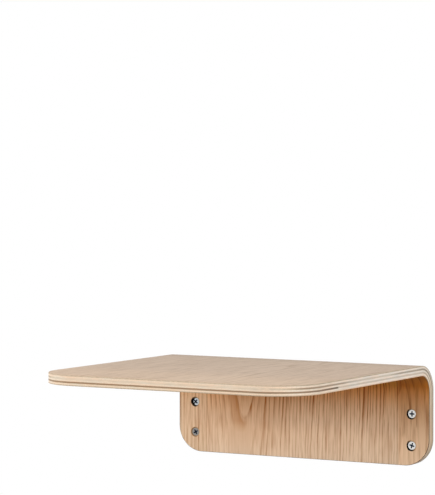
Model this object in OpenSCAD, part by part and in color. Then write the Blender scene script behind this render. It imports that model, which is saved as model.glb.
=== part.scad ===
// Wall shelf for a pet, of moulded plywood. One board, pressed from seven
// veneers, runs from the shelf round a bend into the wall plate, and four
// countersunk wood screws hold the plate to the wall.
// Millimetres. X runs along the wall, Y into the wall and Z up. The origin is
// the middle of the screw pattern, on the plane of the wall.

/* [Board] */
// Width of the board along the wall
board_w = 300; // [220:5:450]
// Depth of the shelf, from the wall to its front edge
shelf_d = 300; // [200:5:400]
// Height from the lower edge of the wall plate to the top of the shelf
board_h = 106; // [100:1:160]
// Outer radius of the bend between shelf and wall plate
bend_r = 28; // [20:1:34]
// Radius of the two front corners of the shelf, seen from above
front_corner_r = 48; // [10:1:70]
// Radius of the two lower corners of the wall plate, seen from the front
plate_corner_r = 28; // [5:1:34]

/* [Veneers] */
// Thickness of the oak face veneer on each side
face_ply_t = 1; // [0.6:0.1:1.5]
// Thickness of each of the five core veneers
core_ply_t = 1.7; // [1.3:0.1:2.1]
// Width of the narrow leaf on each side of the inner face veneer
side_leaf_w = 35; // [30:1:60]
// Width of the front strip of the lower cross veneer, from the front edge
front_strip_w = 83; // [55:1:140]
// Open gap at the butt joint behind that strip
joint_gap = 1.2; // [0.5:0.1:2]

/* [Screws] */
// Distance of the screws from the sides of the wall plate
screw_inset = 20; // [12:0.5:28]
// Height of the lower screws above the lower edge of the wall plate
lower_row_h = 21; // [12:0.5:24]
// Height of the upper screws above the lower screws
row_spacing = 33; // [20:0.5:36]
// Length of a screw, from the top of its head to its point
screw_l = 40; // [30:1:60]
// Diameter over the thread
thread_d = 4.5; // [4:0.1:5]
// Diameter of the smooth shank under the head
shank_d = 3.2; // [2.6:0.1:3.6]
// Diameter of the head
head_d = 8.7; // [8:0.1:9.5]
// Height of the straight rim round the head
head_rim = 0.3; // [0.1:0.1:0.5]
// Angle of the cone under the head, and of the countersink that seats it
head_angle = 90; // [82:1:100]
// Length of the tapered point
point_l = 7; // [4:0.5:9]
// Diameter of the countersink at the face of the plate
countersink_d = 10.8; // [10.6:0.1:12]
// Clearance round the thread in its bore
bore_gap = 0.25; // [0.1:0.05:0.5]
// Span of the cross recess in the head
recess_d = 5.8; // [4:0.1:6]
// Width of each wing of the cross recess
recess_wing = 1.4; // [0.8:0.1:1.6]
// Depth of the cross recess
recess_depth = 2.3; // [1.5:0.1:2.6]
// Turn of the cross in the upper left screw, in degrees
turn_upper_left = 40; // [0:5:85]
// Turn of the cross in the upper right screw, in degrees
turn_upper_right = 0; // [0:5:85]
// Turn of the cross in the lower left screw, in degrees
turn_lower_left = 60; // [0:5:85]
// Turn of the cross in the lower right screw, in degrees
turn_lower_right = 15; // [0:5:85]

/* [Hidden] */
$fn = 96;
// How far cutting shapes run past what they cut
overrun = 1;

// The lay-up, counted from the outer face: oak, five core veneers, oak
core_count = 5;
board_t = 2 * face_ply_t + core_count * core_ply_t;
function core_depth(n) = face_ply_t + n * core_ply_t;
inner_face_depth = core_depth(core_count);

// Where the board lies about the middle of the screw pattern
bottom_z = -row_spacing / 2 - lower_row_h;
top_z = bottom_z + board_h;
screw_x = board_w / 2 - screw_inset;
screw_z = row_spacing / 2;
joint_y = front_strip_w - shelf_d;

// Radii round a screw, and how fast its cone narrows with depth
head_r = head_d / 2;
shank_r = shank_d / 2;
thread_r = thread_d / 2;
mouth_r = countersink_d / 2;
bore_r = thread_r + bore_gap;
cone_slope = tan(head_angle / 2);
// The rim of the head comes to rest where the countersink is as wide as the head
seat_depth = (mouth_r - head_r) / cone_slope;
head_depth = seat_depth - head_rim;
cone_l = (head_r - shank_r) / cone_slope;
thread_start = board_t - head_depth;
// The recess narrows to this share of its span at its floor
recess_floor_share = 0.35;

// A rectangle on the X axis, w wide and h high, with its two lower corners rounded
module tab_outline(w, h, r) {
    translate([-w / 2, r]) square([w, h - r]);
    translate([r - w / 2, 0]) square([w - 2 * r, h]);
    for (side = [-1, 1])
        translate([side * (w / 2 - r), r]) circle(r);
}

// The board's outline as a bar: rounded front corners cut straight down
module shelf_outline_bar() {
    translate([0, -shelf_d, bottom_z - overrun])
        linear_extrude(board_h + 2 * overrun)
            tab_outline(board_w, shelf_d + overrun, front_corner_r);
}

// The board's outline as a bar: rounded lower corners cut straight through to the wall
module plate_outline_bar() {
    translate([0, overrun, bottom_z])
        rotate([90, 0, 0])
            linear_extrude(shelf_d + 2 * overrun)
                tab_outline(board_w, board_h + overrun, plate_corner_r);
}

// Side view of all that lies deeper than this under the board's outer face.
// Y runs along the first axis and Z along the second.
module under_face(depth, past) {
    front = shelf_d + past;
    low = bottom_z - past;
    translate([-front, low]) square([front - bend_r, top_z - depth - low]);
    translate([-front, low]) square([front - depth, top_z - bend_r - low]);
    translate([-bend_r, top_z - bend_r]) circle(bend_r - depth);
}

// A sheet that follows the bend, as deep and as thick as given, larger than the board
module bent_sheet(depth, thick) {
    rotate([90, 0, 90])
        linear_extrude(board_w + 2 * overrun, center = true)
            difference() {
                under_face(depth, overrun);
                under_face(depth + thick, 2 * overrun);
            }
}

// Children at the four screws, each with +Z turned into the wall
module at_screws() {
    for (x = [-screw_x, screw_x], z = [-screw_z, screw_z])
        translate([x, -board_t, z]) rotate([-90, 0, 0]) children();
}

// A countersunk bore, from the face of the wall plate through to the wall
module countersunk_bore() {
    rotate_extrude() polygon([
        [0, -overrun],
        [mouth_r + overrun * cone_slope, -overrun],
        [bore_r, (mouth_r - bore_r) / cone_slope],
        [bore_r, board_t + overrun],
        [0, board_t + overrun]
    ]);
}

// One veneer of the board, trimmed to the outline and bored for the screws
module veneer(depth, thick) {
    difference() {
        intersection() {
            bent_sheet(depth, thick);
            shelf_outline_bar();
            plate_outline_bar();
        }
        at_screws() countersunk_bore();
    }
}

// All of the board between two places along X
module between_x(left, right) {
    translate([left, -shelf_d - overrun, bottom_z - overrun])
        cube([right - left, shelf_d + 2 * overrun, board_h + 2 * overrun]);
}

// All of the board between two distances from the wall
module between_y(front, back) {
    translate([-board_w / 2 - overrun, front, bottom_z - overrun])
        cube([board_w + 2 * overrun, back - front, board_h + 2 * overrun]);
}

module outer_face_veneer() {
    color("burlywood") veneer(0, face_ply_t);
}

module upper_long_ply() {
    color("bisque") veneer(core_depth(0), core_ply_t);
}

module upper_cross_ply() {
    color("tan") veneer(core_depth(1), core_ply_t);
}

module middle_long_ply() {
    color("bisque") veneer(core_depth(2), core_ply_t);
}

// The lower cross veneer is laid in two strips that meet in an open butt joint
module lower_cross_ply_front() {
    color("rosybrown") intersection() {
        veneer(core_depth(3), core_ply_t);
        between_y(-shelf_d - overrun, joint_y - joint_gap / 2);
    }
}

module lower_cross_ply_rear() {
    color("wheat") intersection() {
        veneer(core_depth(3), core_ply_t);
        between_y(joint_y + joint_gap / 2, overrun);
    }
}

module lower_long_ply() {
    color("bisque") veneer(core_depth(4), core_ply_t);
}

// The inner face veneer is spliced from a wide leaf and two narrow ones
module inner_face_leaf(left, right) {
    color("peru") intersection() {
        veneer(inner_face_depth, face_ply_t);
        between_x(left, right);
    }
}

module inner_face_leaf_left() {
    inner_face_leaf(-board_w / 2 - overrun, side_leaf_w - board_w / 2);
}

module inner_face_leaf_middle() {
    inner_face_leaf(side_leaf_w - board_w / 2, board_w / 2 - side_leaf_w);
}

module inner_face_leaf_right() {
    inner_face_leaf(board_w / 2 - side_leaf_w, board_w / 2 + overrun);
}

// The cross recess: two crossed bars within a cone that narrows to its floor
module cross_recess() {
    intersection() {
        translate([0, 0, -overrun])
            cylinder(h = recess_depth + overrun, d1 = recess_d, d2 = recess_d * recess_floor_share);
        union() {
            for (size = [[recess_d, recess_wing], [recess_wing, recess_d]])
                translate([-size.x / 2, -size.y / 2, -overrun])
                    cube([size.x, size.y, recess_depth + 2 * overrun]);
        }
    }
}

// A countersunk wood screw from the top of its head at the origin down to its
// point along +Z. The thread is a plain cylinder over its crests.
module wood_screw(turn) {
    color("gainsboro") difference() {
        rotate_extrude() polygon([
            [0, 0],
            [head_r, 0],
            [head_r, head_rim],
            [shank_r, head_rim + cone_l],
            [shank_r, thread_start],
            [thread_r, thread_start],
            [thread_r, screw_l - point_l],
            [0, screw_l]
        ]);
        rotate(turn) cross_recess();
    }
}

// A screw seated in its countersink; side and row are -1 or 1
module seated_screw(side, row, turn) {
    translate([side * screw_x, head_depth - board_t, row * screw_z])
        rotate([-90, 0, 0]) wood_screw(turn);
}

module screw_upper_left() {
    seated_screw(-1, 1, turn_upper_left);
}

module screw_upper_right() {
    seated_screw(1, 1, turn_upper_right);
}

module screw_lower_left() {
    seated_screw(-1, -1, turn_lower_left);
}

module screw_lower_right() {
    seated_screw(1, -1, turn_lower_right);
}

outer_face_veneer();
upper_long_ply();
upper_cross_ply();
middle_long_ply();
lower_cross_ply_front();
lower_cross_ply_rear();
lower_long_ply();
inner_face_leaf_left();
inner_face_leaf_middle();
inner_face_leaf_right();
screw_upper_left();
screw_upper_right();
screw_lower_left();
screw_lower_right();
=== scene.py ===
import math

import bpy
import numpy as np
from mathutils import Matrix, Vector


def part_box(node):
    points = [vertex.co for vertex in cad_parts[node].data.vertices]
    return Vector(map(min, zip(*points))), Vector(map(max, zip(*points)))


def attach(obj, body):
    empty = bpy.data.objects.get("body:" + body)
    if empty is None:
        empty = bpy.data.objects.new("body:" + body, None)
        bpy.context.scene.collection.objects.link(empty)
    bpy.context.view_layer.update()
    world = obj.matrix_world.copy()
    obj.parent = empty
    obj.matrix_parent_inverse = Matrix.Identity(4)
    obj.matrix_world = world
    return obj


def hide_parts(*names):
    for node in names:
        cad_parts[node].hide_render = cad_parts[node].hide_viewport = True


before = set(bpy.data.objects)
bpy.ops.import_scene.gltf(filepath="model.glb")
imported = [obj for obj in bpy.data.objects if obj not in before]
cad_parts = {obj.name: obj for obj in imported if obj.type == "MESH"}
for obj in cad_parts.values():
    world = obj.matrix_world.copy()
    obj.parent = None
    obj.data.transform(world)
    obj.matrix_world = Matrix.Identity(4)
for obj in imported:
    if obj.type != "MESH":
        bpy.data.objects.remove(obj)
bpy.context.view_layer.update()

# The viewpoint. A long lens looks at the shelf from its right, a little from above, so that the front
# edge, the right edge and the inner face of the wall plate all show.
eye_place = (1.204963, -2.280095, 0.277812)
eye_yaw = math.radians(29.9386)
eye_pitch_down = math.radians(2.03)
focal_px = 2423.49
frame_width_px = 435
sensor_width_mm = 36

scene = bpy.context.scene
eye_lens = bpy.data.cameras.new("long_lens")
eye_lens.sensor_fit = "HORIZONTAL"
eye_lens.sensor_width = sensor_width_mm
eye_lens.lens = focal_px * sensor_width_mm / frame_width_px
eye = bpy.data.objects.new("viewpoint", eye_lens)
eye.location = eye_place
eye.rotation_euler = (math.pi / 2 - eye_pitch_down, 0, eye_yaw)
scene.collection.objects.link(eye)
scene.camera = eye

# The board's lay-up. Seven veneers are glued flat on each other, pressed over a mould into an L and
# trimmed with a router while they are clamped, so that all share one bend, one outline and four bores.
MM = 0.001
board_low, board_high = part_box("outer_face_veneer")
half_width = board_high.x
shelf_depth = -board_low.y
top_z = board_high.z
bottom_z = board_low.z
bend_r = 28 * MM
front_corner_r = 48 * MM
plate_corner_r = 28 * MM
face_veneer_t = -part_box("upper_long_ply")[1].y
board_t = face_veneer_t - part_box("inner_face_leaf_middle")[1].y

flat_run = shelf_depth - bend_r
middle_bend_r = bend_r - board_t / 2
bend_run = middle_bend_r * math.pi / 2
plate_run = top_z - bend_r - bottom_z
whole_run = flat_run + bend_run + plate_run

screw_low, screw_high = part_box("screw_upper_right")
screw_across = (screw_low.x + screw_high.x) / 2
screw_rise = (screw_low.z + screw_high.z) / 2
screw_runs = [whole_run - plate_run + top_z - bend_r - z for z in (screw_rise, -screw_rise)]
screw_places = [(x, run) for x in (-screw_across, screw_across) for run in screw_runs]
countersink_r = 5.4 * MM
bore_r = 2.5 * MM
# The router leaves the outer arrises a little rounded, as sanding does
eased_arris = 0.4 * MM


def on_mould(across, run, depth):
    """Where a place in the lay-up lies in space. Across is its place across the board, run is how far it
    lies from the front edge round the bend to the lower edge of the wall plate, and depth is how deep
    under the outer face: straight along the shelf, then round the bend on an arc of radius
    bend_r - depth, then straight down the wall plate."""
    turn = np.clip((run - flat_run) / middle_bend_r, 0, math.pi / 2)
    along = np.minimum(run, flat_run) - shelf_depth
    down = np.maximum(run - flat_run - bend_run, 0)
    arc_r = bend_r - depth
    y = along + arc_r * np.sin(turn)
    z = top_z - bend_r + arc_r * np.cos(turn) - down
    return np.stack([across, y, z], axis=-1)


def corner_radius(run):
    """Radius of the rounded corners at the end of the board that is nearer."""
    return np.where(run < whole_run / 2, front_corner_r, plate_corner_r)


def end_setback(across, radius):
    """How far a rounded end stands back at a place across: radius - sqrt(radius^2 - past^2), where past
    is how far the place lies beyond the centre of the corner's arc."""
    past = np.clip(np.abs(across) - (half_width - radius), 0, radius)
    return radius - np.sqrt(radius ** 2 - past ** 2)


def half_width_at(run):
    """Half the board's width at a place along its run, with the same arcs seen from the side."""
    radius = corner_radius(run)
    past = np.clip(radius - np.minimum(run, whole_run - run), 0, radius)
    return half_width - radius + np.sqrt(radius ** 2 - past ** 2)


def outward(across, run):
    """Unit direction straight out of the outline: away from the nearest point of the rectangle that
    joins the centres of the four corner arcs, and zero inside that rectangle."""
    radius = corner_radius(run)
    side = np.sign(across) * np.maximum(np.abs(across) - (half_width - radius), 0)
    end = np.minimum(run - front_corner_r, 0) + np.maximum(run - whole_run + plate_corner_r, 0)
    length = np.maximum(np.hypot(side, end), 1e-9)
    return np.stack([side / length, end / length], axis=-1)


def around(block):
    """The outer ring of a block of vertex numbers, once round against the clock."""
    return np.concatenate([block[0, :-1], block[:-1, -1], block[-1, :0:-1], block[:0:-1, 0]])


def band(upper, lower):
    """Quads between two closed rings of vertex numbers that have as many vertices each."""
    return np.stack([upper, np.roll(upper, -1), np.roll(lower, -1), lower], axis=-1)


def spaced(*spans):
    """Grid lines from (start, end, number of cells) spans laid end to end."""
    lines = [np.linspace(start, end, cells + 1) for start, end, cells in spans]
    return np.unique(np.round(np.concatenate(lines), 9))


# Grid lines of every veneer. They are close together at the screws, where a square window of the grid
# gives way to rings round the bore, and end short of the rounded outline, which closes the grid.
window = 8 * MM
window_cells = 12
side_band = 9 * MM
front_band = 22 * MM
plate_band = 9 * MM
across_edge = half_width - side_band
across_lines = spaced(
    (-across_edge, -screw_across - window, 2),
    (-screw_across - window, -screw_across + window, window_cells),
    (-screw_across + window, screw_across - window, 62),
    (screw_across - window, screw_across + window, window_cells),
    (screw_across + window, across_edge, 2),
)
run_lines = spaced(
    (front_band, front_corner_r, 7),
    (front_corner_r, flat_run, 36),
    (flat_run, flat_run + bend_run, 28),
    (flat_run + bend_run, screw_runs[0] - window, 4),
    (screw_runs[0] - window, screw_runs[0] + window, window_cells),
    (screw_runs[0] + window, screw_runs[1] - window, 5),
    (screw_runs[1] - window, screw_runs[1] + window, window_cells),
    (screw_runs[1] + window, whole_run - plate_band, 2),
)
# Two grid lines that are nearer to each other than this count as one
line_slack = 0.1 * MM
# How far the rings on a veneer's face lie on the way from the window to the bore
ring_shares = (0.35, 0.7)
# The kinds of a veneer's faces, which are also the places of their materials
on_face = 0
on_rim = 1
in_bore = 2
# Faces that meet at a larger angle keep a sharp edge
sharp_angle = math.radians(35)


def clipped(lines, start, end):
    """The grid lines between two cuts, with a line on each cut; None leaves an end as it is."""
    kept = lines
    if start is not None:
        kept = np.concatenate([[start], kept[kept > start + line_slack]])
    if end is not None:
        kept = np.concatenate([kept[kept < end - line_slack], [end]])
    return kept


def trimmed_grid(columns, rows, open_ends, open_sides):
    """Across and run at the crossings of a veneer's grid lines. Each end and side that isn't cut straight
    gets one more line of crossings, which lies on the board's outline, and where two of these meet, the
    crossing is the point of the corner's arc straight out from the grid's own corner."""
    across, run = np.meshgrid(columns, rows)
    more_lines = np.array([open_ends, open_sides], int)
    across = np.pad(across, more_lines, mode="edge")
    run = np.pad(run, more_lines, mode="edge")
    # Each end is its line, the radius of its corners and where along the run their centres lie
    ends = [(0, front_corner_r, front_corner_r), (-1, plate_corner_r, whole_run - plate_corner_r)]
    for end, radius, _ in ends:
        if open_ends[end]:
            setback = end_setback(across[end], radius)
            run[end] = setback if end == 0 else whole_run - setback
    inner = slice(more_lines[0, 0], len(run) - more_lines[0, 1])
    for side in (0, -1):
        if open_sides[side]:
            across[inner, side] = np.sign(across[inner, side]) * half_width_at(run[inner, side])
    for end, radius, centre_run in ends:
        for side in (0, -1):
            if open_ends[end] and open_sides[side]:
                centre = np.array([np.sign(columns[side]) * (half_width - radius), centre_run])
                reach = np.array([columns[side], rows[end]]) - centre
                across[end, side], run[end, side] = centre + radius * reach / np.linalg.norm(reach)
    return across, run


def bore_steps(top, under):
    """The rings of a bore, from the window on the upper face in to the bore, down its wall and out again
    on the lower face: (share of the way from the window to the bore, depth, radius of the bore there).
    The countersink narrows by as much as it deepens, until it is as wide as the bore."""
    kink = board_t - (countersink_r - bore_r)
    wall = [depth for depth in (top, kink, under) if top <= depth <= under]
    circles = [max(countersink_r - (board_t - depth), bore_r) for depth in wall]
    steps = [(share, top, circles[0]) for share in ring_shares]
    steps += [(1, depth, circle) for depth, circle in zip(wall, circles)]
    steps += [(share, under, circles[-1]) for share in reversed(ring_shares)]
    return steps


def finished(name, vertices, faces, kinds, materials):
    """A smooth piece from its mesh. Kinds number each face's material, and where there are fewer
    materials than kinds, the last one covers the rest."""
    mesh = bpy.data.meshes.new(name)
    mesh.from_pydata(vertices, [], faces)
    for material in materials:
        mesh.materials.append(material)
    mesh.polygons.foreach_set("material_index", np.minimum(kinds, len(materials) - 1).astype(np.int32))
    mesh.polygons.foreach_set("use_smooth", np.ones(len(faces), bool))
    mesh.set_sharp_from_angle(angle=sharp_angle)
    mesh.update()
    piece = bpy.data.objects.new(name, mesh)
    scene.collection.objects.link(piece)
    return piece


def pressed_veneer(name, top, under, rim, materials, cut_across=(None, None), cut_run=(None, None)):
    """One veneer as a closed mesh. Its two faces are the same grid at the depths top and under, the rim
    is a profile of (inset, depth) points carried round the outline, and each bore is a profile of
    circles. A cut straight across stays sharp. The attribute laid_mm is a vertex's place in the lay-up,
    and edge_facing points out of the outline or a bore, with a third part that is 1 on a bore's lip."""
    columns = clipped(across_lines, *cut_across)
    rows = clipped(run_lines, *cut_run)
    open_ends = [cut is None for cut in cut_run]
    open_sides = [cut is None for cut in cut_across]
    across, run = trimmed_grid(columns, rows, open_ends, open_sides)
    flat = np.stack([across.ravel(), run.ravel(), np.zeros(across.size)], axis=-1)
    every = np.arange(across.size)
    grid = every.reshape(across.shape)
    ring = around(grid)
    facing = np.zeros_like(flat)
    facing[ring, :2] = outward(flat[ring, 0], flat[ring, 1])
    places = []
    facings = []
    quads = []
    kinds = []

    def put(spots, towards):
        """Adds vertices and what each faces, and returns their numbers."""
        first = sum(len(earlier) for earlier in places)
        places.append(spots)
        facings.append(towards)
        return np.arange(first, first + len(spots))

    def put_layer(inset, depth, chosen):
        """Adds the chosen crossings at one depth, with the outline drawn in by the inset."""
        return put(flat[chosen] - facing[chosen] * inset + (0, 0, depth), facing[chosen])

    def cover(faces, kind):
        """Adds faces of one kind."""
        quads.append(faces)
        kinds.append(np.full(len(faces), kind))

    put_layer(rim[0][0], top, every)
    put_layer(rim[-1][0], under, every)
    rings = [ring, *(put_layer(inset, depth, ring) for inset, depth in rim[1:-1]), ring + across.size]
    # A rim faces away from the middle of its rings and a bore faces it, so the rim's quads are turned
    for upper, lower in zip(rings, rings[1:]):
        cover(band(upper, lower)[:, [0, 3, 2, 1]], on_rim)

    kept = np.ones((len(grid) - 1, len(grid[0]) - 1), bool)
    steps = bore_steps(top, under)
    shares = [0, *(share for share, _, _ in steps), 0]
    for screw_x, screw_run in screw_places:
        near_columns = np.flatnonzero(np.abs(columns - screw_x) < window + line_slack)
        near_rows = np.flatnonzero(np.abs(rows - screw_run) < window + line_slack)
        if len(near_columns) <= window_cells or len(near_rows) <= window_cells:
            continue
        first_column = near_columns[0] + int(open_sides[0])
        first_row = near_rows[0] + int(open_ends[0])
        last_column = first_column + window_cells
        last_row = first_row + window_cells
        kept[first_row:last_row, first_column:last_column] = False
        square = around(grid[first_row:last_row + 1, first_column:last_column + 1])
        offset = flat[square, :2] - (screw_x, screw_run)
        toward = offset / np.linalg.norm(offset, axis=1, keepdims=True)
        loops = [square]
        for share, depth, circle in steps:
            spot = offset * (1 - share) + toward * circle * share + (screw_x, screw_run)
            on_lip = float(share == 1)
            loops.append(put(np.insert(spot, 2, depth, axis=1), np.insert(toward, 2, on_lip, axis=1)))
        loops.append(square + across.size)
        for upper, lower, share, next_share in zip(loops, loops[1:], shares, shares[1:]):
            cover(band(upper, lower), in_bore if share == next_share == 1 else on_face)

    cells = np.stack([grid[:-1, :-1], grid[:-1, 1:], grid[1:, 1:], grid[1:, :-1]], axis=-1)[kept]
    cover(cells, on_face)
    cover(cells[:, ::-1] + across.size, on_face)

    lay_up = np.concatenate(places)
    faces = np.concatenate(quads).tolist()
    piece = finished(name, on_mould(*lay_up.T), faces, np.concatenate(kinds), materials)
    for attribute, values in (("laid_mm", lay_up / MM), ("edge_facing", np.concatenate(facings))):
        stored = piece.data.attributes.new(attribute, "FLOAT_VECTOR", "POINT")
        stored.data.foreach_set("vector", values.astype(np.float32).ravel())
    return piece


# Core veneers. Five sheets of rotary-cut hardwood, 1.7 mm thick, laid with their grain crossed: pale
# ones along the run and darker ones across. The lower cross sheet is laid in two strips. Only the
# routed edges of the sheets show.


def linear(hex_colour, alpha=1.0):
    """A hex colour in sRGB as linear red, green, blue and alpha: each channel is divided by 12.92 when
    dark, and otherwise ((channel + 0.055) / 1.055) to the power 2.4."""
    channels = np.array([int(hex_colour[place:place + 2], 16) for place in (1, 3, 5)]) / 255
    straight = np.where(channels <= 0.04045, channels / 12.92, ((channels + 0.055) / 1.055) ** 2.4)
    return (*straight, alpha)


def add(tree, kind, links=None, stops=None, **settings):
    """Adds one node. Settings are its properties, links maps an input's name or number to a value or
    to another node's output, and stops are the (place, colour) pairs of a colour ramp. A Map Range takes
    input 0 from the range of inputs 1 and 2 to that of inputs 3 and 4, each 0 to 1 if not given."""
    made = tree.nodes.new(kind)
    for setting, value in settings.items():
        setattr(made, setting, value)
    for socket, value in (links or {}).items():
        if isinstance(value, bpy.types.NodeSocket):
            tree.links.new(value, made.inputs[socket])
        else:
            made.inputs[socket].default_value = value
    if stops:
        ends = made.color_ramp.elements
        ends[0].position, ends[0].color = stops[0]
        ends[1].position, ends[1].color = stops[-1]
        for place, colour in stops[1:-1]:
            ends.new(place).color = colour
    return made


def new_material(name):
    """A new material, with its node tree and its shader."""
    material = bpy.data.materials.new(name)
    material.use_nodes = True
    return material, material.node_tree, material.node_tree.nodes["Principled BSDF"]


def grain_noise(tree, laid, patch_mm, detail=2.0):
    """Noise from 0 to 1, in patches as large across, along the run and in depth as given in mm."""
    stretch = [1 / size for size in patch_mm]
    drawn = add(tree, "ShaderNodeVectorMath", {0: laid, 1: stretch}, operation="MULTIPLY").outputs[0]
    return add(tree, "ShaderNodeTexNoise", {"Vector": drawn, "Scale": 1.0, "Detail": detail}).outputs[0]


def ramp_along_run(tree, laid, stops):
    """A colour ramp through (place along the run in mm, linear colour) stops; returns its outputs."""
    run = add(tree, "ShaderNodeSeparateXYZ", {0: laid}).outputs["Y"]
    share = add(tree, "ShaderNodeMath", {0: run, 1: whole_run / MM}, operation="DIVIDE").outputs[0]
    return add(tree, "ShaderNodeValToRGB", {0: share}, [
        (run_mm * MM / whole_run, colour) for run_mm, colour in stops
    ]).outputs


def core_edge(name, tones, grain_across):
    """Rotary-cut poplar and gum, sanded at the edge and sealed: pale cream with soft bands that follow
    the grain, so a sheet laid across changes colour along the run. Its fibres show as fine specks. Real
    ones are about 1 mm long and far thinner than 0.1 mm, so these are drawn coarser, to show."""
    fibre_long = 14
    fibre_wide = 0.9
    cloud_mm = (22, 22, 2)
    material, tree, shader = new_material(name)
    laid = add(tree, "ShaderNodeAttribute", attribute_name="laid_mm").outputs["Vector"]
    tone = ramp_along_run(tree, laid, [(run_mm, linear(colour)) for run_mm, colour in tones])["Color"]
    lying = (fibre_long, fibre_wide) if grain_across else (fibre_wide, fibre_long)
    fibre = grain_noise(tree, laid, (*lying, fibre_wide), detail=3.0)
    speck = add(tree, "ShaderNodeMapRange", {0: fibre, 1: 0.3, 2: 0.7, 3: 0.86, 4: 1.08}).outputs[0]
    cloud = grain_noise(tree, laid, cloud_mm)
    cloud = add(tree, "ShaderNodeMapRange", {0: cloud, 1: 0.35, 2: 0.65}).outputs[0]
    blush = add(tree, "ShaderNodeMix", {"Factor": cloud, "A": linear("#FFF4EC"), "B": linear("#F7F8F8")},
                data_type="RGBA").outputs["Result"]
    tone = add(tree, "ShaderNodeVectorMath", {0: tone, 1: blush}, operation="MULTIPLY").outputs[0]
    colour = add(tree, "ShaderNodeVectorMath", {0: tone, "Scale": speck}, operation="SCALE").outputs[0]
    tree.links.new(colour, shader.inputs["Base Color"])
    rough = add(tree, "ShaderNodeMapRange", {0: fibre, 1: 0.3, 2: 0.7, 3: 0.62, 4: 0.5}).outputs[0]
    tree.links.new(rough, shader.inputs["Roughness"])
    relief = add(tree, "ShaderNodeBump", {"Height": fibre, "Strength": 0.25, "Distance": 0.05 * MM})
    tree.links.new(relief.outputs[0], shader.inputs["Normal"])
    return material


# Tones are (place along the run in mm, colour)
shelf_tones = [
    (0, "#E5D2BB"), (15, "#F0E0CC"), (45, "#EADAC6"), (110, "#EADED0"), (160, "#ECE0D4"),
    (240, "#EAE1D6"), (270, "#E6DDD0"),
]
# From the bend down the wall plate the long plies' edges darken: painted shade, for the plate's edge under
# the shelf
lower_pale_tones = shelf_tones + [(290, "#EFDFC7"), (310, "#E8D6BC"), (345, "#E2C9AA"), (385, "#E0C7A8")]
middle_pale_tones = shelf_tones + [(310, "#D8C6AC"), (345, "#D0B595"), (385, "#D2B898")]
upper_pale_tones = shelf_tones + [(310, "#BDB09E"), (345, "#B09D87"), (385, "#B3A18B")]
upper_cross_tones = [
    (0, "#DBCAB5"), (8, "#D3C3AC"), (26, "#A38A70"), (90, "#A89580"), (125, "#CBBFAF"), (195, "#D0C6B5"),
    (215, "#AA9F8E"), (270, "#A29786"), (292, "#8C8170"), (310, "#9A8A74"), (385, "#A6957D"),
]
lower_front_tones = [(0, "#9C8267"), (15, "#9E876D"), (45, "#88715A"), (80, "#6C573F")]
# The rear lower ply's edge darkens from the bend down the same way, as painted shade
lower_rear_tones = [
    (0, "#D0C2B0"), (270, "#CBBEAE"), (290, "#B3A591"), (310, "#B0A28E"), (345, "#B59E84"),
    (385, "#B7A28A"),
]
core_sheets = [
    ("upper_long_ply", "pale_core_veneer", upper_pale_tones, False, (None, None)),
    ("upper_cross_ply", "dark_core_veneer", upper_cross_tones, True, (None, None)),
    ("middle_long_ply", "pale_core_veneer", middle_pale_tones, False, (None, None)),
    ("lower_cross_ply_front", "dark_core_veneer", lower_front_tones, True,
     (None, shelf_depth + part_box("lower_cross_ply_front")[1].y)),
    ("lower_cross_ply_rear", "pale_core_veneer", lower_rear_tones, True,
     (shelf_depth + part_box("lower_cross_ply_rear")[0].y, None)),
    ("lower_long_ply", "pale_core_veneer", lower_pale_tones, False, (None, None)),
]
core_count = 5
core_t = (board_t - 2 * face_veneer_t) / core_count
for node, slot, tones, grain_across, cut in core_sheets:
    upper_face = top_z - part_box(node)[1].z
    lower_face = upper_face + core_t
    sanded_edge = core_edge(f"sanded_edge_{node}", tones, grain_across)
    piece = pressed_veneer(f"pressed_{node}", upper_face, lower_face,
                           [(0, upper_face), (0, lower_face)], [sanded_edge], cut_run=cut)
    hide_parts(node)
    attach(piece, "root")

# Oak face veneers. Sliced oak, 1 mm thick, glued to both sides with its grain along the run, then
# sanded and sealed with a matt clear lacquer. The outer face is one sheet. The inner face is spliced
# from a wide leaf with a cathedral figure and a narrow leaf of straighter wood on each side.
# Black for painted shade in the bores, on their lips and on one screw head
painted_shade_black = "#0B0807"


def shade_side_of_bore(tree, facing):
    """Painted shade round a bore: 1 on its left and lower side, where the shade falls, and 0 on the
    other side."""
    left_and_down = (-0.85, 0.5, 0)
    painted_shade = add(tree, "ShaderNodeVectorMath", {0: facing, 1: left_and_down},
                  operation="DOT_PRODUCT").outputs["Value"]
    return add(tree, "ShaderNodeMapRange", {0: painted_shade, 1: -0.5, 2: 0.45}).outputs[0]


def figure(tree, laid, wide_mm, long_mm, least, most, low=0.3, high=0.7):
    """Noise in patches as wide across the grain and as long along it as given, the same at every depth.
    Where the noise goes from low to high, the figure goes from least to most."""
    noise = grain_noise(tree, laid, (wide_mm, long_mm, math.inf))
    return add(tree, "ShaderNodeMapRange", {0: noise, 1: low, 2: high, 3: least, 4: most}).outputs[0]


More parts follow.
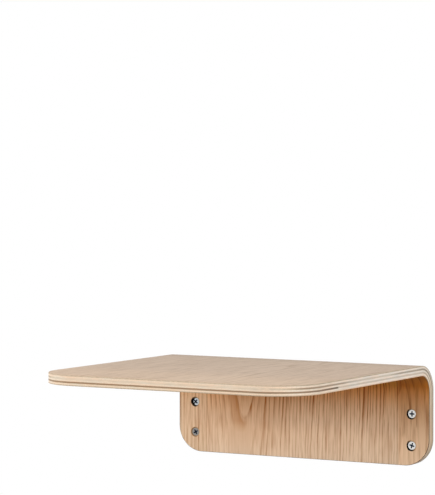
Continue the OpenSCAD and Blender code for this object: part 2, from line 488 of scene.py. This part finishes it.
def growth_rings(tree, laid, heart, ring_mm, sway_mm):
    """How far a place lies past the tip of the V, in mm and in years. Growth rings are cones about a
    heart line, so a slice cuts a ring where sqrt(across^2 + height^2) from the heart is constant. The
    height changes slowly along the run by a slope, and the ring that is as wide as the height at the
    heart's own place closes there in a V. Rings sway aside in long waves and are ragged in short ones,
    and good and bad seasons make them wider and narrower by turns."""
    heart_across, heart_height, heart_run, slope = heart
    ragged_mm = 0.55
    season_years = 0.5
    cone = add(tree, "ShaderNodeVectorMath", {
        0: laid, 1: (1, slope, 0), 2: (-heart_across, heart_height - slope * heart_run, 0),
    }, operation="MULTIPLY_ADD").outputs[0]
    sway = figure(tree, laid, 40, 130, -sway_mm, sway_mm)
    ragged = figure(tree, laid, 3.5, 30, -ragged_mm, ragged_mm)
    aside = add(tree, "ShaderNodeMath", {0: sway, 1: ragged}, operation="ADD").outputs[0]
    aside = add(tree, "ShaderNodeCombineXYZ", {"X": aside}).outputs[0]
    cone = add(tree, "ShaderNodeVectorMath", {0: cone, 1: aside}, operation="ADD").outputs[0]
    radius = add(tree, "ShaderNodeVectorMath", {0: cone}, operation="LENGTH").outputs["Value"]
    past_tip = add(tree, "ShaderNodeMath", {0: radius, 1: heart_height}, operation="SUBTRACT").outputs[0]
    season = add(tree, "ShaderNodeTexNoise", {"W": past_tip, "Scale": 0.45 / ring_mm, "Detail": 1.0},
                 noise_dimensions="1D").outputs[0]
    season = add(tree, "ShaderNodeMapRange", {0: season, 3: -season_years, 4: season_years},
                 clamp=False).outputs[0]
    years = add(tree, "ShaderNodeMath", {0: past_tip, 1: 1 / ring_mm, 2: season},
                operation="MULTIPLY_ADD").outputs[0]
    return past_tip, years


def early_wood(tree, years, strength):
    """The line of open pores that starts each year, and fades into dense wood over its first 60 percent.
    Each year's line has a boldness of its own, between half the strength and all of it."""
    year = add(tree, "ShaderNodeMath", {0: years}, operation="FRACT").outputs[0]
    early = add(tree, "ShaderNodeValToRGB", {0: year}, [
        (0.0, (1, 1, 1, 1)), (0.12, (0.8, 0.8, 0.8, 1)), (0.32, (0.25, 0.25, 0.25, 1)),
        (0.6, (0, 0, 0, 1)), (0.92, (0, 0, 0, 1)), (1.0, (1, 1, 1, 1)),
    ]).outputs[0]
    count = add(tree, "ShaderNodeMath", {0: years}, operation="FLOOR").outputs[0]
    vigour = add(tree, "ShaderNodeTexWhiteNoise", {"W": count}, noise_dimensions="1D").outputs["Value"]
    vigour = add(tree, "ShaderNodeMapRange", {0: vigour, 3: 0.5 * strength, 4: strength}).outputs[0]
    return add(tree, "ShaderNodeMath", {0: early, 1: vigour}, operation="MULTIPLY").outputs[0]


def v_stain(tree, place, heart, past_tip, years, stain):
    """What a stain does round the V, with its places in mm from the tip. Returns three shares: how much
    of the lines is left beside the V on its left, how plain the wood is in a strip under the tip, and
    how brown the wood is. That is most along the left side of the V, over the first years past it, and
    less all round the heart; both end a little way under the tip."""
    tip_across, _, tip_run, _ = heart
    x = place["X"]
    run = place["Y"]
    left = add(tree, "ShaderNodeMapRange", {0: x, 1: tip_across + 6, 2: tip_across - 2}).outputs[0]
    lines_left = add(tree, "ShaderNodeMapRange", {0: left, 3: 1.0, 4: 1.0 - 0.5 * stain}).outputs[0]

    strip_across = tip_across - 5
    off_strip = add(tree, "ShaderNodeMath", {0: x, 1: strip_across}, operation="SUBTRACT").outputs[0]
    off_strip = add(tree, "ShaderNodeMath", {0: off_strip}, operation="ABSOLUTE").outputs[0]
    strip = add(tree, "ShaderNodeMapRange", {0: off_strip, 1: 17, 2: 11, 4: 0.85 * stain}).outputs[0]
    under = add(tree, "ShaderNodeMapRange", {0: run, 1: tip_run, 2: tip_run + 14}).outputs[0]
    plain = add(tree, "ShaderNodeMath", {0: strip, 1: under}, operation="MULTIPLY").outputs[0]

    stained_years = 1.7
    outside = add(tree, "ShaderNodeMapRange", {0: years, 2: stained_years}).outputs[0]
    brown = add(tree, "ShaderNodeValToRGB", {0: outside}, [
        (0.0, (0, 0, 0, 1)), (0.1, (1, 1, 1, 1)), (0.6, (0.7, 0.7, 0.7, 1)), (1.0, (0, 0, 0, 1)),
    ]).outputs[0]
    above = add(tree, "ShaderNodeMapRange", {0: run, 1: tip_run + 20, 2: tip_run + 4}).outputs[0]
    for share in (left, above, stain):
        brown = add(tree, "ShaderNodeMath", {0: brown, 1: share}, operation="MULTIPLY").outputs[0]
    heartwood = add(tree, "ShaderNodeMapRange", {0: past_tip, 1: 40, 2: 10, 4: 0.32 * stain}).outputs[0]
    above = add(tree, "ShaderNodeMapRange", {0: run, 1: tip_run + 36, 2: tip_run + 4}).outputs[0]
    heartwood = add(tree, "ShaderNodeMath", {0: heartwood, 1: above}, operation="MULTIPLY").outputs[0]
    brown = add(tree, "ShaderNodeMath", {0: brown, 1: heartwood}, operation="MAXIMUM").outputs[0]
    return lines_left, plain, brown


def sliced_oak(name, light, dark, shade_tints, heart, ring_mm, sway_mm, line_strength,
               stain=0.0, lip_shade=0.0, flank=(0, 1, 1.0)):
    """Ring-porous oak, sliced, sanded and lacquered: tan wood with a brown line at the start of each
    year, broken in places, and streaks and pores along the grain between the lines. Real pores are
    about 0.3 mm wide, and these are drawn coarser, to show. Heart is the heart line's place across, its
    height at a place along the run, and that place, all in mm, and then its slope. Stain is how strongly
    a stain marks the V there, and the lip shade is how black painted shade makes the lips of the bores
    on their left and lower side. Flank is where across the sheet its tone starts to change, where it
    stops and how bright it is there. The stops along the run are (place in mm, colour, boldness of the
    lines), and their colours are painted shade, darker toward the bend and under the shelf."""
    pore_wide = 0.9
    pore_long = 20
    plain_depth = 0.27
    stain_tone = "#B5804F"
    material, tree, shader = new_material(name)
    laid = add(tree, "ShaderNodeAttribute", attribute_name="laid_mm").outputs["Vector"]
    place = add(tree, "ShaderNodeSeparateXYZ", {0: laid}).outputs
    past_tip, years = growth_rings(tree, laid, heart, ring_mm, sway_mm)
    lines_left, plain, brown = v_stain(tree, place, heart, past_tip, years, stain)
    # The colours along the run are painted shade
    painted_shade = ramp_along_run(tree, laid, [(run_mm, linear(tone, bold)) for run_mm, tone, bold in shade_tints])

    lines = early_wood(tree, years, line_strength)
    for share in (painted_shade["Alpha"], lines_left):
        lines = add(tree, "ShaderNodeMath", {0: lines, 1: share}, operation="MULTIPLY").outputs[0]
    broken = figure(tree, laid, 5, 70, 0.4, 1.15, low=0.35, high=0.65)
    pores = figure(tree, laid, pore_wide, pore_long, 0.0, 0.35, low=0.5, high=0.75)
    open_pores = add(tree, "ShaderNodeMath", {0: lines, 1: broken, 2: pores},
                     operation="MULTIPLY_ADD").outputs[0]
    streaks = figure(tree, laid, 2.2, 48, -0.22, 0.26)
    patches = figure(tree, laid, 26, 110, -0.07, 0.07)
    shade = add(tree, "ShaderNodeMath", {0: streaks, 1: patches}, operation="ADD").outputs[0]
    depth = add(tree, "ShaderNodeMath", {0: open_pores, 1: shade}, operation="ADD",
                use_clamp=True).outputs[0]
    depth = add(tree, "ShaderNodeMix", {"Factor": plain, "A": depth, "B": plain_depth}).outputs[0]

    colour = add(tree, "ShaderNodeMix", {"Factor": depth, "A": linear(light), "B": linear(dark)},
                 data_type="RGBA").outputs["Result"]
    colour = add(tree, "ShaderNodeMix", {"Factor": brown, "A": colour, "B": linear(stain_tone)},
                 data_type="RGBA").outputs["Result"]
    colour = add(tree, "ShaderNodeVectorMath", {0: colour, 1: painted_shade["Color"]},
                 operation="MULTIPLY").outputs[0]
    flank_start, flank_end, flank_tone = flank
    toned = add(tree, "ShaderNodeMapRange", {
        0: place["X"], 1: flank_start, 2: flank_end, 3: 1.0, 4: flank_tone,
    }).outputs[0]
    colour = add(tree, "ShaderNodeVectorMath", {0: colour, "Scale": toned}, operation="SCALE").outputs[0]
    # Painted shade blackens the bores' lips on their left and lower side
    facing = add(tree, "ShaderNodeAttribute", attribute_name="edge_facing").outputs["Vector"]
    lip = add(tree, "ShaderNodeSeparateXYZ", {0: facing}).outputs["Z"]
    lip = add(tree, "ShaderNodeMapRange", {0: lip, 1: 0.45, 2: 0.75, 4: lip_shade}).outputs[0]
    shaded_lip = add(tree, "ShaderNodeMath", {0: lip, 1: shade_side_of_bore(tree, facing)},
                   operation="MULTIPLY").outputs[0]
    colour = add(tree, "ShaderNodeMix", {"Factor": shaded_lip, "A": colour, "B": linear(painted_shade_black)},
                 data_type="RGBA").outputs["Result"]
    tree.links.new(colour, shader.inputs["Base Color"])
    rough = add(tree, "ShaderNodeMapRange", {0: open_pores, 3: 0.5, 4: 0.65}).outputs[0]
    tree.links.new(rough, shader.inputs["Roughness"])
    shader.inputs["Specular IOR Level"].default_value = 0.2
    relief = add(tree, "ShaderNodeBump", {"Height": open_pores, "Strength": 0.3, "Distance": 0.08 * MM},
                 invert=True)
    tree.links.new(relief.outputs[0], shader.inputs["Normal"])
    return material


def oak_edge(name, side_tone, plate_shade_tone, front_tone):
    """The sanded edge of the oak, with soft flecks along the grain. Round the wall plate the sides are
    darker than along the shelf, which is painted shade for the plate's edge under the shelf, and the
    end grain at the front drinks the lacquer and turns greyer."""
    fleck_mm = (1.5, 9, 1.5)
    material, tree, shader = new_material(name)
    laid = add(tree, "ShaderNodeAttribute", attribute_name="laid_mm").outputs["Vector"]
    run = add(tree, "ShaderNodeSeparateXYZ", {0: laid}).outputs["Y"]
    down = add(tree, "ShaderNodeMapRange", {
        0: run, 1: flat_run / MM, 2: (flat_run + bend_run) / MM,
    }).outputs[0]
    side = add(tree, "ShaderNodeMix", {"Factor": down, "A": linear(side_tone), "B": linear(plate_shade_tone)},
               data_type="RGBA").outputs["Result"]
    facing = add(tree, "ShaderNodeAttribute", attribute_name="edge_facing").outputs["Vector"]
    facing = add(tree, "ShaderNodeSeparateXYZ", {0: facing}).outputs["Y"]
    front = add(tree, "ShaderNodeMapRange", {0: facing, 2: -1.0}).outputs[0]
    tone = add(tree, "ShaderNodeMix", {"Factor": front, "A": side, "B": linear(front_tone)},
               data_type="RGBA").outputs["Result"]
    fleck = grain_noise(tree, laid, fleck_mm)
    fleck = add(tree, "ShaderNodeMapRange", {0: fleck, 1: 0.3, 2: 0.7, 3: 0.82, 4: 1.12}).outputs[0]
    colour = add(tree, "ShaderNodeVectorMath", {0: tone, "Scale": fleck}, operation="SCALE").outputs[0]
    tree.links.new(colour, shader.inputs["Base Color"])
    shader.inputs["Roughness"].default_value = 0.6
    shader.inputs["Specular IOR Level"].default_value = 0.2
    return material


def drilled_oak(name, foot_shade):
    """The wall of a countersink, painted black as shade on its left and lower side and plain wood
    elsewhere. A foot shade under 1 makes this painted shade weaker on the lower bore."""
    material, tree, shader = new_material(name)
    facing = add(tree, "ShaderNodeAttribute", attribute_name="edge_facing").outputs["Vector"]
    bore_shade = shade_side_of_bore(tree, facing)
    laid = add(tree, "ShaderNodeAttribute", attribute_name="laid_mm").outputs["Vector"]
    run = add(tree, "ShaderNodeSeparateXYZ", {0: laid}).outputs["Y"]
    share = add(tree, "ShaderNodeMapRange", {
        0: run, 1: screw_runs[0] / MM, 2: screw_runs[1] / MM, 3: 1.0, 4: foot_shade,
    }).outputs[0]
    bore_shade = add(tree, "ShaderNodeMath", {0: bore_shade, 1: share}, operation="MULTIPLY").outputs[0]
    wall = add(tree, "ShaderNodeMix", {"Factor": bore_shade, "A": linear("#BE966C"), "B": linear(painted_shade_black)},
               data_type="RGBA")
    tree.links.new(wall.outputs["Result"], shader.inputs["Base Color"])
    shader.inputs["Roughness"].default_value = 0.8
    shader.inputs["Specular IOR Level"].default_value = 0.1
    return material


arris_turn = np.linspace(0, math.pi / 2, 5)
top_round = [(eased_arris * (1 - math.sin(t)), eased_arris * (1 - math.cos(t))) for t in arris_turn]
outer_rim = top_round + [(0, face_veneer_t)]
inner_top = board_t - face_veneer_t
inner_rim = [(0, inner_top)] + [(inset, board_t - depth) for inset, depth in reversed(top_round)]
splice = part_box("inner_face_leaf_right")[0].x
v_tip_run = 346
# Painted shade along the run: the outer face greys a little toward the bend, and the inner face turns
# darker and warm brown in the bend and under the shelf, where shade and warm bounce light fall
outer_shade_tints = [
    (55, "#FFFFFF", 0.5), (110, "#F2F3F6", 0.5), (245, "#EDEFF3", 0.5), (268, "#DEDFE2", 0.5),
    (295, "#DEDFE2", 0.5), (340, "#FFFFFF", 0.5),
]
left_shade_tints = [
    (235, "#FFFFFF", 0.5), (272, "#F1BA6C", 0.7), (290, "#F1B864", 0.7), (308, "#FFD49A", 0.6),
    (328, "#FFF0DC", 0.6), (346, "#FBF0E2", 0.5), (385, "#F6F1E6", 0.45),
]
middle_shade_tints = [
    (235, "#FFFFFF", 0.6), (272, "#F1BA6C", 0.9), (290, "#F1B557", 1.0), (301, "#F1B557", 1.0),
    (308, "#FFC67C", 1.0), (328, "#FFE9CC", 0.95), (346, "#F7EBDA", 0.6), (385, "#F6F1E6", 0.45),
]
right_shade_tints = [
    (235, "#FFFFFF", 0.5), (272, "#EBB160", 0.55), (290, "#EBAD52", 0.55), (301, "#E8A54A", 0.55),
    (308, "#EFBA78", 0.6), (328, "#E8CFB1", 0.7), (346, "#F0E2D0", 0.55), (385, "#FFFBF2", 0.45),
]
outer_oak = sliced_oak(
    "lacquered_oak_outer_face", "#D7BB9F", "#A07E5C", outer_shade_tints, heart=(30, 40, 200, 0.05),
    ring_mm=5.5, sway_mm=4, line_strength=1.0,
)
# The left leaf's flank darkens its last 4.5 mm at the left edge as painted shade
left_oak = sliced_oak(
    "lacquered_oak_left_leaf", "#E4C9AF", "#9E6638", left_shade_tints, heart=(-390.7, 0, 0, 0),
    ring_mm=4.9, sway_mm=1, line_strength=1.6, flank=(-145.5, -150, 0.7),
)
middle_oak = sliced_oak(
    "lacquered_oak_middle_leaf", "#ECD2BB", "#A06839", middle_shade_tints, heart=(-68, 38, v_tip_run, 0.062),
    ring_mm=3.5, sway_mm=2, line_strength=1.4, stain=0.75, flank=(92, 113, 0.95),
)
right_oak = sliced_oak(
    "lacquered_oak_right_leaf", "#E6C8AC", "#976239", right_shade_tints, heart=(121, 12, 300, -0.1),
    ring_mm=6.5, sway_mm=3, line_strength=1.2, lip_shade=1.0, flank=(132, 117, 1.06),
)
# The second tone, round the wall plate, is painted shade; on the inner edge it is near-black brown
outer_edge = oak_edge("sanded_oak_outer_edge", "#B5A38B", "#A08F7C", "#C2AD94")
inner_edge = oak_edge("sanded_oak_inner_edge", "#E6C9AA", "#453121", "#BCA68C")
# Walls of the bores, with painted shade on their left and lower side
shaded_bore_oak = drilled_oak("bore_oak_with_painted_shade", 1.0)
half_shaded_bore_oak = drilled_oak("bore_oak_with_half_painted_shade", 0.35)
oak_sheets = [
    ("outer_face_veneer", 0, face_veneer_t, outer_rim, (None, None), [outer_oak, outer_edge, shaded_bore_oak]),
    ("inner_face_leaf_left", inner_top, board_t, inner_rim, (None, -splice),
     [left_oak, inner_edge, half_shaded_bore_oak]),
    ("inner_face_leaf_middle", inner_top, board_t, inner_rim, (-splice, splice),
     [middle_oak, inner_edge, shaded_bore_oak]),
    ("inner_face_leaf_right", inner_top, board_t, inner_rim, (splice, None),
     [right_oak, inner_edge, shaded_bore_oak]),
]
for node, upper_face, lower_face, rim, cut, materials in oak_sheets:
    piece = pressed_veneer(f"pressed_{node}", upper_face, lower_face, rim, materials, cut_across=cut)
    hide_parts(node)
    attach(piece, "root")

# Wood screws. Four countersunk screws of zinc-plated steel, 4.5 x 40 mm with a cross recess, driven
# through the wall plate. The head is forged, and the thread is rolled onto a plain shank.
head_r = (screw_high.x - screw_low.x) / 2
head_y = screw_low.y
point_y = screw_high.y
head_rim = 0.3 * MM
head_easing = 0.15 * MM
shank_r = 1.6 * MM
thread_crest_r = 2.25 * MM
thread_core_r = 1.45 * MM
thread_pitch = 2.2 * MM
# Half the width of the thread's ridge at its foot, as a share of the pitch
ridge_half = 0.3
thread_stations = 170
point_length = 7 * MM
blunt_end = 0.4 * MM
recess_r = 2.9 * MM
recess_wing = 1.4 * MM
recess_depth = 2.3 * MM
recess_flare = 0.1 * MM
# The recess widens from its floor up: shares of its reach, of its wings' width and of its depth
recess_steps = [(0.35, 0.5, 1.0), (0.62, 0.72, 0.62), (0.95, 1.0, 0.1)]
wing_angles = np.radians([-45, -38, -31, -25, -20, -16, -13, -10, -5, 0, 5, 10, 13, 16, 20, 25, 31, 38])
screw_angles = np.concatenate([wing_angles + quarter * math.pi / 2 for quarter in range(4)])


def cross_outline(reach, wing):
    """Radius of a cross seen from above, at each angle: the end of a wing, or its side, whichever is
    nearer. A wing's side is a straight line that spreads by a fixed slope from the end to the middle."""
    off_wing = np.abs((screw_angles + math.pi / 4) % (math.pi / 2) - math.pi / 4)
    spread = 0.02
    side = (wing / 2 + reach * spread) / (np.sin(off_wing) + spread * np.cos(off_wing))
    return np.minimum(reach, side)


def driven_screw(name, place_x, place_z, turn, materials):
    """A screw as rings of one profile, from the floor of the recess out over the head, down the cone
    and shank and along the thread to the point. The thread is a ridge whose height is a triangle wave
    of length / pitch + angle / full turn, so that it climbs as a right-hand helix."""
    around_once = np.ones_like(screw_angles)
    cone_y = head_y + head_rim
    rings = [
        (cross_outline(reach * recess_r, wing * recess_wing), head_y + depth * recess_depth)
        for reach, wing, depth in recess_steps
    ]
    rings += [
        (cross_outline(recess_r, recess_wing + recess_flare), head_y),
        (0.75 * head_r * around_once, head_y),
        ((head_r - head_easing) * around_once, head_y),
        (head_r * around_once, head_y + head_easing),
        (head_r * around_once, cone_y),
        (shank_r * around_once, cone_y + head_r - shank_r),
        (shank_r * around_once, -0.5 * thread_pitch),
    ]
    lengths = np.linspace(0, point_y - blunt_end, thread_stations)
    wave = (lengths[:, None] / thread_pitch + screw_angles[None, :] / (2 * math.pi)) % 1
    ridge = np.clip(1 - np.abs(wave - 0.5) / ridge_half, 0, 1)
    fade_in = np.clip(lengths / thread_pitch, 0, 1)[:, None]
    taper = np.clip((point_y - lengths) / point_length, 0, 1)[:, None]
    thread = taper * (thread_core_r + (thread_crest_r - thread_core_r) * ridge * fade_in)
    radii = np.concatenate([np.stack([ring for ring, _ in rings]), thread])
    heights = np.concatenate([[height for _, height in rings], lengths])[:, None] * around_once
    angles = screw_angles[None, :] - turn
    surface = np.stack([place_x + radii * np.cos(angles), heights, place_z + radii * np.sin(angles)], -1)
    poles = [[place_x, head_y + recess_depth, place_z], [place_x, point_y, place_z]]
    vertices = np.concatenate([surface.reshape(-1, 3), poles])

    sides = len(screw_angles)
    numbers = np.arange(radii.size).reshape(radii.shape)
    quads = np.concatenate([band(upper, lower) for upper, lower in zip(numbers, numbers[1:])])
    floor_fan = np.stack([np.full(sides, radii.size), np.roll(numbers[0], -1), numbers[0]], -1)
    point_fan = np.stack([np.full(sides, radii.size + 1), numbers[-1], np.roll(numbers[-1], -1)], -1)
    faces = quads[:, ::-1].tolist() + floor_fan[:, ::-1].tolist() + point_fan[:, ::-1].tolist()
    in_recess = np.zeros(len(faces), int)
    in_recess[:len(recess_steps) * sides] = 1
    in_recess[len(quads):len(quads) + sides] = 1
    return finished(name, vertices, faces, in_recess, materials)


def zinc_plating(name, dim, bright, smooth, coarse, grazing="#FFFFFF", unshaded_circle=None):
    """Zinc plating on forged steel: a cool grey metal, clouded where the passivation took unevenly, with
    a roughness between smooth and coarse. Outside a circle on the head, given by its centre and radius,
    painted shade blackens it."""
    spangle_mm = 1.1
    head_shade_fade = 0.3 * MM
    material, tree, shader = new_material(name)
    shader.inputs["Metallic"].default_value = 1.0
    shader.inputs["Specular Tint"].default_value = linear(grazing)
    spangle = add(tree, "ShaderNodeTexNoise", {"Scale": 1 / (spangle_mm * MM), "Detail": 3.0}).outputs[0]
    colour = add(tree, "ShaderNodeMix", {"Factor": spangle, "A": linear(dim), "B": linear(bright)},
                 data_type="RGBA").outputs["Result"]
    # Painted shade blackens the head outside the circle
    if unshaded_circle:
        centre, radius = unshaded_circle
        spot = add(tree, "ShaderNodeTexCoord").outputs["Object"]
        spot = add(tree, "ShaderNodeVectorMath", {0: spot, 1: (1, 0, 1)}, operation="MULTIPLY").outputs[0]
        away = add(tree, "ShaderNodeVectorMath", {0: spot, 1: centre}, operation="DISTANCE").outputs["Value"]
        head_shade = add(tree, "ShaderNodeMapRange", {0: away, 1: radius, 2: radius + head_shade_fade}).outputs[0]
        colour = add(tree, "ShaderNodeMix", {"Factor": head_shade, "A": colour, "B": linear(painted_shade_black)},
                     data_type="RGBA").outputs["Result"]
    tree.links.new(colour, shader.inputs["Base Color"])
    dull = add(tree, "ShaderNodeMapRange", {0: spangle, 1: 0.3, 2: 0.7, 3: smooth, 4: coarse}).outputs[0]
    tree.links.new(dull, shader.inputs["Roughness"])
    return material


bright_zinc = zinc_plating("bright_zinc_plated_steel", "#CFD1D1", "#F2F0EC", 0.24, 0.42)
# The upper left screw's head, just under the shelf, is painted dimmer than the others as shade,
# and black outside a circle on its left as painted shade
unshaded_centre = (1.4 * MM - screw_across, 0, screw_rise)
unshaded_r = 3.8 * MM
shaded_zinc = zinc_plating("zinc_plated_steel_painted_shade", "#A9B0B5", "#D3D9DC", 0.3, 0.5,
                         unshaded_circle=(unshaded_centre, unshaded_r))
grey_zinc = zinc_plating("greyed_zinc_plated_steel", "#83817E", "#ACA8A3", 0.4, 0.6)
# The recess is painted dark blue, also at grazing angles: painted shade, as its walls see little light
recess_shade_zinc = zinc_plating("zinc_in_the_recess_painted_shade", "#12283C", "#2A5478", 0.45, 0.6, "#305880")
# Each screw stopped at its own turn, in degrees
screws = [
    ("upper_left", 40, shaded_zinc), ("upper_right", 0, bright_zinc),
    ("lower_left", 60, grey_zinc), ("lower_right", 15, bright_zinc),
]
for corner, turn, plating in screws:
    node = f"screw_{corner}"
    low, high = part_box(node)
    piece = driven_screw(f"driven_{node}", (low.x + high.x) / 2, (low.z + high.z) / 2, math.radians(turn),
                         [plating, recess_shade_zinc])
    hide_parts(node)
    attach(piece, "root")

# The studio. A pale floor lies half a metre under the shelf, clear when seen from below, and all round
# it is white. The light is soft: a white backdrop behind, a wide low lamp in front, and smaller ones at
# the left and right, which neither the camera nor a gloss sees.


def looked_at(tree):
    """An output that is 1 for a ray from the camera, a gloss or a clear piece, and 0 for other light."""
    rays = add(tree, "ShaderNodeLightPath").outputs
    seen = add(tree, "ShaderNodeMath", {0: rays["Is Camera Ray"], 1: rays["Is Glossy Ray"]},
               operation="MAXIMUM").outputs[0]
    return add(tree, "ShaderNodeMath", {0: seen, 1: rays["Is Transmission Ray"]},
               operation="MAXIMUM").outputs[0]


floor_drop = 0.5
floor_reach = 6
# From the first of these distances to the second, the floor turns from pale, with the shelf's shadow,
# to the white of the backdrop
pale_within = 0.6
white_beyond = 1.8
floor_z = bottom_z - floor_drop
floor_signs = ((-1, -1), (1, -1), (1, 1), (-1, 1))
floor_corners = [(x * floor_reach, y * floor_reach, floor_z) for x, y in floor_signs]
floor_mesh = bpy.data.meshes.new("studio_floor")
floor_mesh.from_pydata(floor_corners, [], [(0, 1, 2, 3)])
floor = bpy.data.objects.new("studio_floor", floor_mesh)
scene.collection.objects.link(floor)
paint, tree, shader = new_material("matt_white_studio_floor")
shader.inputs["Roughness"].default_value = 0.9
shader.inputs["Specular IOR Level"].default_value = 0.0
shader.inputs["Emission Color"].default_value = (1, 1, 1, 1)
spot = add(tree, "ShaderNodeTexCoord").outputs["Object"]
spot = add(tree, "ShaderNodeVectorMath", {0: spot, 1: (1, 1, 0)}, operation="MULTIPLY").outputs[0]
away = add(tree, "ShaderNodeVectorMath", {0: spot}, operation="LENGTH").outputs["Value"]
far = add(tree, "ShaderNodeMapRange", {0: away, 1: pale_within, 2: white_beyond}).outputs[0]
seen = looked_at(tree)
white_out = add(tree, "ShaderNodeMath", {0: far, 1: seen}, operation="MULTIPLY").outputs[0]
matt = add(tree, "ShaderNodeMix", {"Factor": white_out, "A": linear("#6E6E6E"), "B": linear("#000000")},
           data_type="RGBA").outputs["Result"]
tree.links.new(matt, shader.inputs["Base Color"])
glow = add(tree, "ShaderNodeMapRange", {0: far, 3: 0.8, 4: 1.0}).outputs[0]
glow = add(tree, "ShaderNodeMath", {0: glow, 1: seen}, operation="MULTIPLY").outputs[0]
tree.links.new(glow, shader.inputs["Emission Strength"])
under_side = add(tree, "ShaderNodeNewGeometry").outputs["Backfacing"]
clear = add(tree, "ShaderNodeBsdfTransparent").outputs[0]
one_sided = add(tree, "ShaderNodeMixShader", {0: under_side, 1: shader.outputs[0], 2: clear}).outputs[0]
tree.links.new(one_sided, tree.nodes["Material Output"].inputs["Surface"])
floor_mesh.materials.append(paint)

world = bpy.data.worlds.new("white_studio")
scene.world = world
world.use_nodes = True
tree = world.node_tree
# The world shines brightest from behind the wall, a third as bright from the room, and dimly from below
heading = add(tree, "ShaderNodeTexCoord").outputs["Generated"]
heading = add(tree, "ShaderNodeSeparateXYZ", {0: heading}).outputs
backdrop = add(tree, "ShaderNodeMapRange", {0: heading["Y"], 1: -0.1, 2: 0.5, 3: 0.35, 4: 1.0}).outputs[0]
raised = add(tree, "ShaderNodeMapRange", {0: heading["Z"], 1: -0.15, 2: 0.1, 3: 0.12, 4: 1.0}).outputs[0]
dome = add(tree, "ShaderNodeMath", {0: backdrop, 1: raised}, operation="MULTIPLY").outputs[0]
strength = add(tree, "ShaderNodeMix", {"Factor": looked_at(tree), "A": dome, "B": 1.0}).outputs[0]
tree.links.new(strength, tree.nodes["Background"].inputs["Strength"])
tree.nodes["Background"].inputs["Color"].default_value = (1, 1, 1, 1)

# Lamps are a place in metres, a width and height, and a power in watts; each is turned to the origin
lamps = [
    ("low_front_softbox", (-0.1, -2.37, 0.31), (1.2, 0.5), 32),
    ("left_softbox", (-1.65, -0.97, 0.75), (0.8, 0.8), 15),
    ("right_softbox", (1.87, -0.1, 0.5), (0.8, 0.8), 18.5),
]
for name, place, (width, height), watts in lamps:
    softbox = bpy.data.lights.new(name, "AREA")
    softbox.shape = "RECTANGLE"
    softbox.size = width
    softbox.size_y = height
    softbox.energy = watts
    lamp = bpy.data.objects.new(name, softbox)
    lamp.location = place
    lamp.rotation_euler = (-lamp.location).to_track_quat("-Z", "Y").to_euler()
    lamp.visible_camera = False
    lamp.visible_glossy = False
    scene.collection.objects.link(lamp)

scene.view_settings.view_transform = "Standard"
